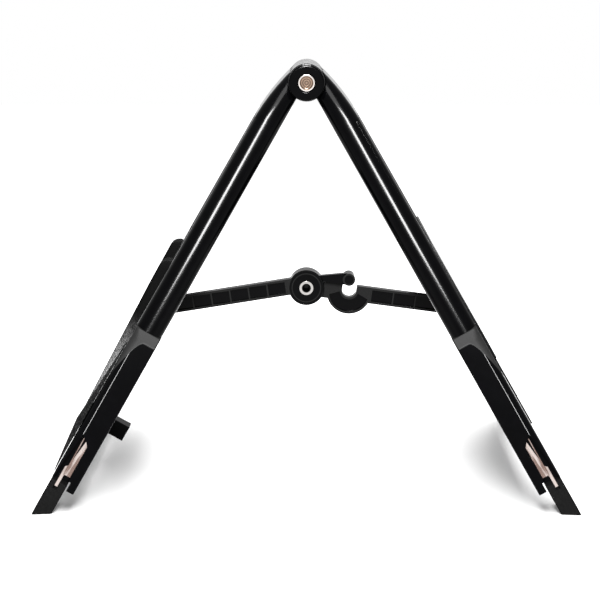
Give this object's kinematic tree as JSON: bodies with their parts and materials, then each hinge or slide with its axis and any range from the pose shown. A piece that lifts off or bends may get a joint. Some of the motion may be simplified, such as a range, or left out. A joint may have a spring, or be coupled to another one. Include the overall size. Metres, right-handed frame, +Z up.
{
  "type": "guitar stand",
  "caption": "Folding A-frame floor stand with splayed legs, a lockable folding stay, rubber feet and a swing-down cradle with two padded prongs.",
  "frame": {"origin": "on the floor, under the middle of the hinge, at the centre of the footprint", "axes": "+Z up, +X towards the rear frame, +Y along the hinge away from the near side"},
  "size_m": [0.389, 0.2528, 0.3116],
  "materials": {
    "black_gloss": "glossy moulded black plastic with soft scuffs",
    "black_matte": "satin moulded black plastic with fine grain",
    "rubber": "matt black rubber with a fine stipple",
    "nickel": "warm polished nickel plate",
    "steel": "bright drawn steel"
  },
  "bodies": {
    "front": {"front_frame": "black_gloss", "front_shell_near": "black_gloss", "front_shell_far": "black_gloss", "front_shell_screw_near": "steel", "front_shell_screw_far": "steel", "front_blade_near": "nickel", "front_blade_far": "nickel", "front_foot_near": "rubber", "front_foot_far": "rubber", "front_rest_near": "rubber", "front_rest_far": "rubber", "front_stay_pin": "steel", "cradle_pin_near": "steel", "cradle_pin_far": "steel", "hinge_barrel": "steel", "hinge_washer_near": "steel", "hinge_washer_far": "steel", "hinge_cap_near": "black_matte", "hinge_cap_far": "black_matte", "hinge_screw_near": "nickel", "hinge_screw_far": "nickel"},
    "rear": {"rear_frame": "black_gloss", "rear_shell_near": "black_gloss", "rear_shell_far": "black_gloss", "rear_shell_screw_near": "steel", "rear_shell_screw_far": "steel", "rear_blade_near": "nickel", "rear_blade_far": "nickel", "rear_foot_near": "rubber", "rear_foot_far": "rubber", "rear_stay_pin": "steel"},
    "finger_half": {"finger_link": "black_matte", "eyelet_near": "nickel"},
    "hook_half": {"hook_link": "black_matte", "eyelet_far": "nickel"},
    "cradle": {"cradle_yoke": "black_matte", "cradle_sleeve_near": "rubber", "cradle_sleeve_far": "rubber"}
  },
  "joints": [
    {"name": "main_fold", "type": "hinge", "parent": "front", "child": "rear", "pos_m": [0, 0, 0.298], "axis": [0, 1, 0], "range_deg": [0, 60]},
    {"name": "stay_front_pivot", "type": "hinge", "parent": "front", "child": "finger_half", "pos_m": [-0.11209, 0, 0.12485], "axis": [0, -1, 0], "range_deg": [0, 47]},
    {"name": "stay_rear_pivot", "type": "hinge", "parent": "rear", "child": "hook_half", "pos_m": [0.11209, 0, 0.12485], "axis": [0, 1, 0], "range_deg": [0, 47]},
    {"name": "cradle_fold", "type": "hinge", "parent": "front", "child": "cradle", "pos_m": [-0.16089, 0, 0.04333], "axis": [0, -1, 0], "range_deg": [0, 90]}
  ],
  "couplings": [
    {"joint": "stay_front_pivot", "follows": "main_fold", "ratio": 0.78125},
    {"joint": "stay_rear_pivot", "follows": "main_fold", "ratio": 0.78125}
  ]
}
